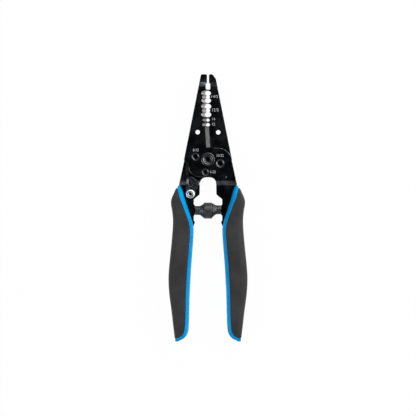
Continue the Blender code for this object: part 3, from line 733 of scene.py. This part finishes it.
def cut_socket(bm, level):
    """Close the open middle of the head with a hexagon socket and its drilled point."""
    ring = [edge for edge in bm.edges if edge.is_boundary]
    hexagon = bmesh.ops.create_circle(
        bm, cap_ends=False, segments=6, radius=socket_across_flats / 2 / cos(pi / 6),
        matrix=Matrix.Translation((PIVOT.x, PIVOT.y, level)) @ Matrix.Rotation(socket_turn, 4, "Z"),
    )
    sides = list({edge for vert in hexagon["verts"] for edge in vert.link_edges})
    bmesh.ops.bridge_loops(bm, edges=ring + sides)
    chamfer = bmesh.ops.extrude_edge_only(bm, edges=sides)["geom"]
    walls = [e for e in chamfer if isinstance(e, bmesh.types.BMEdge) and e.is_boundary]
    corners = [v for v in chamfer if isinstance(v, bmesh.types.BMVert)]
    bmesh.ops.scale(
        bm, verts=corners, vec=(socket_chamfer[0], socket_chamfer[0], 1),
        space=Matrix.Translation((-PIVOT.x, -PIVOT.y, -level)))
    bmesh.ops.translate(bm, verts=corners, vec=(0, 0, -socket_chamfer[1]))
    deeper = bmesh.ops.extrude_edge_only(bm, edges=walls)["geom"]
    floor_edges = [e for e in deeper if isinstance(e, bmesh.types.BMEdge) and e.is_boundary]
    floor = [v for v in deeper if isinstance(v, bmesh.types.BMVert)]
    bmesh.ops.translate(bm, verts=floor, vec=(0, 0, -socket_depth))
    made = bmesh.ops.contextual_create(bm, geom=floor_edges)["faces"]
    bmesh.ops.inset_individual(bm, faces=made, thickness=socket_point)
    bmesh.ops.poke(bm, faces=made, offset=-socket_point)
    bm.normal_update()
    bmesh.ops.recalc_face_normals(bm, faces=bm.faces)


def washer(name, node, bore, material):
    """Flat ring with rounded corners that fills its node's box."""
    low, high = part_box(node)
    centre = (low + high) / 2
    outer = (high.x - low.x) / 2
    r = washer_round
    profile = corner(bore + r, high.z - r, r, pi)
    profile += corner(outer - r, high.z - r, r, pi / 2)
    profile += corner(outer - r, low.z + r, r, 0)
    profile += corner(bore + r, low.z + r, r, -pi / 2)
    bm = spun(profile, centre)
    return add_piece(name, bm, [material], "rear_half", [node], radians(30))


def pivot_nut(steel):
    """Hexagon nut whose corners are chamfered on both faces."""
    low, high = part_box("pivot_nut")
    flats = nut_across_flats / 2
    bm = bmesh.new()
    place = Matrix.Translation((PIVOT.x, PIVOT.y, low.z))
    bmesh.ops.create_circle(
        bm, cap_ends=False, segments=6, radius=flats / cos(pi / 6), matrix=place)
    bmesh.ops.subdivide_edges(bm, edges=bm.edges, cuts=nut_side_cuts)
    bmesh.ops.create_circle(
        bm, cap_ends=False, segments=6 * (nut_side_cuts + 1), radius=thread_radius + nut_bore_gap,
        matrix=place)
    bmesh.ops.bridge_loops(bm, edges=bm.edges)
    sheet = list(bm.faces)
    bmesh.ops.inset_region(bm, faces=sheet, thickness=nut_chamfer_width, use_boundary=True)
    raised = bmesh.ops.extrude_face_region(bm, geom=list(bm.faces), use_keep_orig=True)
    upper = [v for v in raised["geom"] if isinstance(v, bmesh.types.BMVert)]
    bmesh.ops.translate(bm, verts=upper, vec=(0, 0, high.z - low.z))
    middle = (low.z + high.z) / 2
    for vert in bm.verts:
        away = hypot(vert.co.x - PIVOT.x, vert.co.y - PIVOT.y)
        drop = max(0.0, away - flats * nut_chamfer_start) * tan(nut_chamfer_angle)
        drop += max(0.0, thread_radius + nut_bore_chamfer - away)
        vert.co.z += drop if vert.co.z < middle else -drop
    bm.normal_update()
    bmesh.ops.recalc_face_normals(bm, faces=bm.faces)
    return add_piece(
        "chamfered_nut", bm, [steel], "rear_half", ["pivot_nut"], radians(22))


def thumb_lever(finishes):
    """Pressed lever with eased edges, ribs, and ridges across its thumb tab."""
    bm = node_copy("lock_lever")
    low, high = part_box("lock_lever")
    ease_edges(
        bm, lever_edge, 1, segments=3,
        skipped=lambda spot: spot.x < low.x + tab_side and spot.z < RIVET.z + tab_height)
    tab = [v.co for v in bm.verts if v.co.z > high.z - tab_top]
    left = min(co.x for co in tab)
    right = max(co.x for co in tab)
    foot = min(co.y for co in tab)
    head = max(co.y for co in tab)
    span = (head - foot) * ridge_share
    painted_highlight_from = (foot + head) / 2 - tab_highlight_below_middle
    for k in range(ridge_count):
        y = (foot + head) / 2 + span * (k / (ridge_count - 1) - 0.5)
        ridge = bmesh.ops.create_cube(bm, size=1.0, matrix=(
            Matrix.Translation(((left + right) / 2, y, high.z - ridge_level))
            @ Matrix.Diagonal((right - left + ridge_size, ridge_size, ridge_height, 1))))
        edges = list({e for v in ridge["verts"] for e in v.link_edges})
        bevel(bm, edges, ridge_size * ridge_easing, 2)
    for degrees in rib_angles:
        middle = (rib_span[0] + rib_span[1]) / 2
        rib = bmesh.ops.create_cube(bm, size=1.0, matrix=(
            Matrix.Translation((RIVET.x, RIVET.y, low.z + lever_plate))
            @ Matrix.Rotation(radians(degrees), 4, "Z") @ Matrix.Translation((middle, 0, 0))
            @ Matrix.Diagonal((rib_span[1] - rib_span[0], rib_size, 2 * rib_height, 1))))
        edges = list({e for v in rib["verts"] for e in v.link_edges})
        bevel(bm, edges, rib_height * rib_easing, 3)
        for face in {face for edge in edges if edge.is_valid for face in edge.link_faces}:
            face.material_index = 2
    # The tab's top from the highlight line up takes the light steel as a painted highlight. Eased
    # edges stay bright plated steel only at the right-hand tip, partly rubbed and partly a painted
    # highlight.
    for face in bm.faces:
        spot = face.calc_center_median()
        if spot.z > high.z - lever_edge and spot.y > painted_highlight_from:
            face.material_index = 2
        elif face.material_index == 1 and spot.x <= high.x - lever_tip:
            face.material_index = 0
    return add_piece("thumb_lever", bm, finishes, "lock", ["lock_lever"])


def lever_rivet(finishes):
    """Rivet with a rounded, dished head in front and a formed head behind."""
    low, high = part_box("lock_rivet")
    top = high.z
    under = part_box("lock_lever")[0].z + rivet_seat
    tail_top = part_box("lock_washer")[0].z - back_gap
    rim = rivet_head_rim
    dome = [
        (rivet_lip_radius + (rivet_head_radius - rivet_lip_radius) * sin(pi / 2 * k / rivet_steps),
         under + rim + (top - under - rim) * cos(pi / 2 * k / rivet_steps))
        for k in range(rivet_steps + 1)
    ]
    dish = [
        (rivet_dish_floor + (rivet_lip_radius - rivet_dish_floor) * k / rivet_dish_steps,
         top - rivet_dish_depth * cos(pi / 2 * k / rivet_dish_steps))
        for k in range(rivet_dish_steps)
    ]
    tail = [
        (rivet_tail_radius * cos(pi / 2 * k / rivet_steps),
         tail_top - (tail_top - low.z) * sin(pi / 2 * k / rivet_steps))
        for k in range(rivet_steps + 1)
    ]
    profile = [(0, top - rivet_dish_depth)] + dish + dome
    profile += [(rivet_head_radius, under), (rivet_shank_radius, under)]
    profile += [(rivet_shank_radius, tail_top)] + tail[:-1] + [(0, low.z)]
    bm = spun(profile, RIVET)
    # The flat floor of the dish takes the black oxide, a painted dark reflection in the plated
    # head.
    for face in bm.faces:
        spot = face.calc_center_median()
        if spot.z > under and (spot - RIVET).xy.length < rivet_dish_floor:
            face.material_index = 1
    return add_piece(
        "dished_rivet", bm, finishes, "rear_half", ["lock_rivet"], radians(50))


def share_of(value, span):
    """How far a value is through a span, from 0 to 1, with soft ends."""
    share = min(max((value - span[0]) / (span[1] - span[0]), 0), 1)
    return share * share * (3 - 2 * share)


def strip_section(turns):
    """Outline of the spring strip at a number of turns from the front of its middle turn."""
    distance = abs(turns)
    reach = (spring_length - strip_width) / 2
    along = reach * share_of(distance, side_step_turns) * (1 if turns > 0 else -1)
    sunk = (strip_thickness + layer_gap) * share_of(distance, sinking_turns)
    fall = spring_outer_radius - spring_end_radius
    r = strip_round
    from_edge = [0, 0.3 * r, r]
    inner = [strip_width * (k + 1) / (strip_points + 1) for k in range(strip_points)]
    across = from_edge + inner + [strip_width - x for x in reversed(from_edge)]
    face = []
    for x in across:
        inwards = min(x, strip_width - x, r) / r
        eased = r * (1 - sqrt(1 - (1 - inwards) ** 2))
        x += along - strip_width / 2
        face.append((x, spring_outer_radius - fall * share_of(abs(x), cone_span) - sunk, eased))
    axis = PIVOT - Vector((0, spring_axis_below_pivot, 0))
    outline = [(x, radius - eased) for x, radius, eased in face]
    outline += [(x, radius - strip_thickness + eased) for x, radius, eased in reversed(face)]
    direction = Vector((0, -sin(2 * pi * turns), cos(2 * pi * turns)))
    return [
        axis + Vector((x, -middle_sag * (1 - share_of(abs(x), cone_span)), 0)) + direction * radius
        for x, radius in outline
    ]


def bridged(rings):
    """Closed skin over a row of rings of points."""
    bm = bmesh.new()
    loops = []
    for ring in rings:
        verts = [bm.verts.new(point) for point in ring]
        loops.append([bm.edges.new((verts[k - 1], verts[k])) for k in range(len(verts))])
    for low, high in zip(loops, loops[1:]):
        bmesh.ops.bridge_loops(bm, edges=low + high)
    for end in (loops[0], loops[-1]):
        bmesh.ops.contextual_create(bm, geom=end)
    bm.normal_update()
    bmesh.ops.recalc_face_normals(bm, faces=bm.faces)
    return bm


def volute_spring(steel):
    """Strip wound as two cones."""
    count = round(turns_each_way * steps_per_turn)
    bm = bridged([strip_section(step / steps_per_turn) for step in range(-count, count + 1)])
    spring = add_piece(
        "volute_spring", bm, [steel], None, ["return_spring"], radians(50))
    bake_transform(spring)
    return spring


def known_stations():
    """Grip stations in metres from the pivot."""
    end = Vector((0, -handle_reach))
    rows = [(row, Vector((0, 0))) for row in head_stations] + [(row, end) for row in tail_stations]
    return [
        (Vector(inner) * MM + shift, Vector(outer) * MM + shift, depth, cover, rim * MM)
        for (inner, outer, depth, cover, rim), shift in rows
    ]


def on_curve(p0, p1, p2, p3, t):
    """Smooth curve through p1 and p2 that looks at their neighbours."""
    return 0.5 * (
        2 * p1 + (p2 - p0) * t + (2 * p0 - 5 * p1 + 4 * p2 - p3) * t * t
        + (3 * p1 - p0 - 3 * p2 + p3) * t * t * t
    )


def smooth_stations(first, last):
    """Stations between two of the known ones, on smooth curves through them all."""
    known = known_stations()
    found = []
    for index in range(first, last):
        around = [known[min(max(index + shift, 0), len(known) - 1)] for shift in (-1, 0, 1, 2)]
        for step in range(stations_between):
            t = step / stations_between
            inner, outer, depth, cover, rim = (
                on_curve(*(station[part] for station in around), t) for part in range(5))
            found.append((inner, outer, min(depth, 1.0), min(max(cover, 0.0), 1.0), rim))
    found.append(known[last])
    return found


def oval(width, half_depth, inset, angle):
    """Point of a full, flattened oval that is drawn in by an inset: (across, depth)."""
    power = 2 / section_fullness
    across = abs(cos(angle)) ** power * (1 if cos(angle) >= 0 else -1)
    deep = min(abs(sin(angle)) ** power * section_flat, 1.0) * (1 if sin(angle) >= 0 else -1)
    return width / 2 + (width / 2 - inset) * across, (half_depth - inset) * deep


def rim_angle(width, rim):
    """Angle on the oval at which the coloured rim ends."""
    share = min(max(1 - 2 * rim / width, -0.95), 0.95)
    return acos(-abs(share) ** (section_fullness / 2) * (1 if share > 0 else -1))


def on_station(station, points, side):
    """Set (across, depth) points on the line from inner to outer point of either grip."""
    inner, outer = station[:2]
    line = (outer - inner).normalized()
    return [
        PIVOT + Vector(((inner.x + line.x * u) * side, inner.y + line.y * u, z)) for u, z in points
    ]


def core_ring(station, side):
    """Section of the core: nearly full at the rim, drawn in where the cover lies on it."""
    inner, outer, depth, cover, rim = station
    width = (outer - inner).length
    half_depth = depth * grip_depth / 2
    turn = rim_angle(width, rim)
    covered = rim_inset + cover_shell * cover
    points = []
    for k in range(rim_points + 1):
        angle = turn + (2 * pi - 2 * turn) * k / rim_points
        points.append(oval(width, half_depth, rim_inset * cover, angle))
    for k in range(cover_points + 1):
        angle = turn * (1 - 2 * k / cover_points)
        points.append(oval(width, half_depth, min(covered, deepest_inset * width), -angle))
    return on_station(station, points, side)


def cover_ring(station, side):
    """Section of the cover: a shell over the core with rounded lips at the rim."""
    inner, outer, depth, cover, rim = station
    width = (outer - inner).length
    half_depth = depth * grip_depth / 2
    turn = rim_angle(width, rim + lip_gap)
    shell = cover_shell * max(cover, least_cover)
    bulge = shell / width / 2
    points = []
    for k in range(cover_points + 1):
        points.append(oval(width, half_depth, 0, turn * (1 - 2 * k / cover_points)))
    for k in range(1, lip_points):
        swing = pi * k / lip_points
        inset = shell / 2 * (1 - cos(swing))
        points.append(oval(width, half_depth, inset, -turn - bulge * sin(swing)))
    for k in range(cover_points + 1):
        points.append(oval(width, half_depth, shell, turn * (2 * k / cover_points - 1)))
    for k in range(1, lip_points):
        swing = pi * k / lip_points
        inset = shell / 2 * (1 + cos(swing))
        points.append(oval(width, half_depth, inset, turn + bulge * sin(swing)))
    return on_station(station, points, side)


def round_ends(bm, count, width):
    """Ease the rims of the two end caps of a bridged skin."""
    caps = [face for face in bm.faces if len(face.verts) == count]
    edges = list({edge for face in caps for edge in face.edges})
    bevel(bm, edges, width, 3, clamp_overlap=True)


def grip(hand, side, body, blue, charcoal):
    """Core and cover of one grip."""
    last = len(head_stations) + len(tail_stations) - 1
    rings = [core_ring(station, side) for station in smooth_stations(0, last)]
    core = bridged(rings)
    round_ends(core, len(rings[0]), core_end_round)
    rings = [cover_ring(station, side) for station in smooth_stations(1, last - 1)]
    cover = bridged(rings)
    round_ends(cover, len(rings[0]), cover_end_round)
    add_piece(
        f"{hand}_rim_moulding", core, [blue], body, [f"{hand}_grip_core"],
        radians(60))
    add_piece(
        f"{hand}_soft_moulding", cover, [charcoal], body, [f"{hand}_grip_cover"],
        radians(60))


def number(text, pixel, width, height, level, body, ink):
    """A printed number, fitted to a width and height about a place on a stamping."""
    curve = bpy.data.curves.new("letters", "FONT")
    curve.body = text
    curve.extrude = print_thickness / 2
    helper = bpy.data.objects.new("letters", curve)
    bpy.context.scene.collection.objects.link(helper)
    bpy.context.view_layer.update()
    shown = helper.evaluated_get(bpy.context.evaluated_depsgraph_get())
    mesh = bpy.data.meshes.new_from_object(shown)
    bpy.data.objects.remove(helper)
    bm = bmesh.new()
    bm.from_mesh(mesh)
    bpy.data.meshes.remove(mesh)
    bmesh.ops.remove_doubles(bm, verts=bm.verts, dist=1e-6)
    xs = [v.co.x for v in bm.verts]
    ys = [v.co.y for v in bm.verts]
    middle = Vector(((min(xs) + max(xs)) / 2, (min(ys) + max(ys)) / 2, 0))
    fit = (width * MM / (max(xs) - min(xs)), height * MM / (max(ys) - min(ys)), 1)
    bmesh.ops.translate(bm, verts=bm.verts, vec=-middle)
    bmesh.ops.scale(bm, verts=bm.verts, vec=fit)
    half = PHOTO_PIXELS / 2
    place = ((pixel[0] - half) * PIXEL, (half - pixel[1]) * PIXEL, level + print_thickness / 2)
    bmesh.ops.translate(bm, verts=bm.verts, vec=place)
    name = "number_" + text.replace("/", "_").replace("-", "_")
    return add_piece(name, bm, [ink], body)


def studio():
    """Pale floor, a dim surround that is darkest overhead, and four soft lamps."""
    bm = bmesh.new()
    bmesh.ops.create_grid(bm, x_segments=1, y_segments=1, size=floor_reach)
    bmesh.ops.translate(bm, verts=bm.verts, vec=(0, 0, -floor_drop))
    mesh = bpy.data.meshes.new("floor")
    bm.to_mesh(mesh)
    bm.free()
    mesh.materials.append(floor_material())
    floor = bpy.data.objects.new("floor", mesh)
    bpy.context.scene.collection.objects.link(floor)
    surround()
    lamp("key", azimuth=48, elevation=29, distance=1.1, size=0.95, power=8.5)
    lamp("head", azimuth=92, elevation=46, distance=1.2, size=0.55, power=2.0)
    lamp("side", azimuth=2, elevation=36, distance=1.2, size=0.6, power=5.5)
    lamp("fill", azimuth=200, elevation=26, distance=1.2, size=0.8, power=6.5)


def worked_out(tree, operation, first, second):
    """Output of a sum on a socket and either another socket or a number."""
    node = tree.nodes.new("ShaderNodeMath")
    node.operation = operation
    tree.links.new(first, node.inputs[0])
    if isinstance(second, float):
        node.inputs[1].default_value = second
    else:
        tree.links.new(second, node.inputs[1])
    return node.outputs[0]


def floor_material():
    """White for the camera and in reflections, with the object's shadow left on it."""
    material = bpy.data.materials.new("white_floor")
    material.use_nodes = True
    tree = material.node_tree
    shader = tree.nodes["Principled BSDF"]
    shader.inputs["Base Color"].default_value = (0.86, 0.86, 0.86, 1)
    shader.inputs["Roughness"].default_value = 0.9
    shader.inputs["Specular IOR Level"].default_value = 0.0
    glow = tree.nodes.new("ShaderNodeEmission")
    ray = tree.nodes.new("ShaderNodeLightPath")
    camera_ray, glossy, through = (
        ray.outputs[f"Is {kind} Ray"] for kind in ("Camera", "Glossy", "Transmission"))
    seen = worked_out(tree, "MAXIMUM", camera_ray, glossy)
    share = worked_out(
        tree, "MULTIPLY", worked_out(tree, "MAXIMUM", seen, through), floor_whiteness)
    mix = tree.nodes.new("ShaderNodeMixShader")
    links = tree.links
    links.new(share, mix.inputs["Fac"])
    links.new(shader.outputs["BSDF"], mix.inputs[1])
    links.new(glow.outputs["Emission"], mix.inputs[2])
    links.new(mix.outputs["Shader"], tree.nodes["Material Output"].inputs["Surface"])
    return material


def surround():
    """Sky that is pale half-way up and nearly black overhead, and white to the camera."""
    world = bpy.data.worlds.new("surround")
    bpy.context.scene.world = world
    world.use_nodes = True
    tree = world.node_tree
    place = tree.nodes.new("ShaderNodeTexCoord")
    split = tree.nodes.new("ShaderNodeSeparateXYZ")
    ramp = tree.nodes.new("ShaderNodeValToRGB")
    elements = ramp.color_ramp.elements
    while len(elements) < len(sky_levels):
        elements.new(0.5)
    for element, (height, value) in zip(elements, sky_levels):
        element.position = height
        element.color = (value, value, value, 1)
    tree.links.new(place.outputs["Generated"], split.inputs["Vector"])
    tree.links.new(split.outputs["Z"], ramp.inputs["Fac"])
    ray = tree.nodes.new("ShaderNodeLightPath")
    seen = tree.nodes.new("ShaderNodeMix")
    seen.data_type = "RGBA"
    seen.inputs["B"].default_value = (1, 1, 1, 1)
    tree.links.new(ray.outputs["Is Camera Ray"], seen.inputs["Factor"])
    tree.links.new(ramp.outputs["Color"], seen.inputs["A"])
    tree.links.new(seen.outputs["Result"], tree.nodes["Background"].inputs["Color"])


def lamp(name, azimuth, elevation, distance, size, power):
    """Square soft lamp that looks at the tool; azimuth 0 is +X and 90 is +Y."""
    light = bpy.data.lights.new(name, "AREA")
    light.size = size
    light.energy = power
    around, up = radians(azimuth), radians(elevation)
    away = Vector((cos(around) * cos(up), sin(around) * cos(up), sin(up)))
    item = bpy.data.objects.new(name, light)
    item.location = away * distance
    item.rotation_mode = "QUATERNION"
    item.rotation_quaternion = (-away).to_track_quat("-Z", "Y")
    bpy.context.scene.collection.objects.link(item)


def camera():
    """Long lens straight above the tool, with the photograph's frame."""
    data = bpy.data.cameras.new("camera")
    data.lens = 180
    distance = PHOTO_PIXELS * PIXEL * data.lens / data.sensor_width
    item = bpy.data.objects.new("camera", data)
    item.location = (0, 0, PIVOT.z + distance)
    data.clip_end = 20
    bpy.context.scene.collection.objects.link(item)
    bpy.context.scene.camera = item


def dress():
    """Make every piece."""
    oxide = black_oxide("black_oxide", (0.018, 0.021, 0.025), (0.028, 0.032, 0.037), 0.32)
    hardware = black_oxide("dark_hardware", (0.075, 0.079, 0.085), (0.1, 0.105, 0.11), 0.26)
    satin = black_oxide(
        "satin_black", (0.03, 0.035, 0.041), (0.1, 0.11, 0.12), 0.42, cloud_scale=560)
    edge = rubbed_and_sheen_edge()
    cutter = ground_steel(
        "ground_cutter", (7000, 300, 300), (0.095, 0.094, 0.093), (0.235, 0.232, 0.229))
    notch = ground_steel(
        "ground_notch", (500, 3000, 3000), (0.26, 0.255, 0.25), (0.66, 0.65, 0.64))
    # Lighter, bluish oxides on the slopes between the stampings' levels are a painted sheen: the
    # brighter one on the front stamping, the dimmer one on the rear stamping and on the front
    # boss's rolled edge.
    slope = black_oxide("bright_painted_sheen_oxide", (0.085, 0.091, 0.103), (0.13, 0.137, 0.152), 0.42)
    dim_slope_and_roll_sheen = black_oxide("dim_painted_sheen_oxide", (0.042, 0.045, 0.046), (0.062, 0.065, 0.066), 0.42)
    countersink = turned_steel("countersink", (0.06, 0.06, 0.064), (0.1, 0.1, 0.1))
    rubbed = black_oxide(
        "rubbed_oxide", (0.019, 0.021, 0.024), (0.03, 0.032, 0.036), 0.34, (0.16, 0.15, 0.135))
    shared = [edge, cutter, notch, thread_wall()]
    stamping("front_blade", "front_half", [oxide] + shared + [slope, countersink, dim_slope_and_roll_sheen])
    stamping("rear_blade", "rear_half", [rubbed] + shared + [dim_slope_and_roll_sheen])
    # The screw head's bevel gets a lighter steel than the oxide, a painted sheen.
    head_bevel_painted_sheen = turned_steel("head_bevel_painted_sheen", (0.1, 0.1, 0.105), (0.15, 0.15, 0.15))
    socket_edge = turned_steel("socket_edge", (0.07, 0.07, 0.07), (0.11, 0.108, 0.106))
    bright = bright_steel()
    pivot_screw([oxide, head_bevel_painted_sheen, socket_edge])
    pivot_nut(hardware)
    plain_bore = thread_radius + washer_clearance
    washer("plain_washer", "pivot_washer", plain_bore, bright)
    friction_bore = rivet_shank_radius + washer_clearance
    washer("friction_washer", "lock_washer", friction_bore, bright)
    thumb_lever([satin, bright, wear_and_highlight_steel()])
    lever_rivet([bright, oxide])
    volute_spring(spring_strip())
    blue = blue_moulding()
    charcoal = soft_cover()
    grip("left", -1, "rear_half", blue, charcoal)
    grip("right", 1, "front_half", blue, charcoal)
    ink = white_print()
    for text, pixel, width, height in jaw_numbers:
        number(text, pixel, width, height, JAW_FACE, "rear_half", ink)
    for text, pixel, width, height in boss_numbers:
        number(text, pixel, width, height, BOSS_FACE, "front_half", ink)


bpy.context.scene.view_settings.view_transform = "Standard"
camera()
dress()
studio()
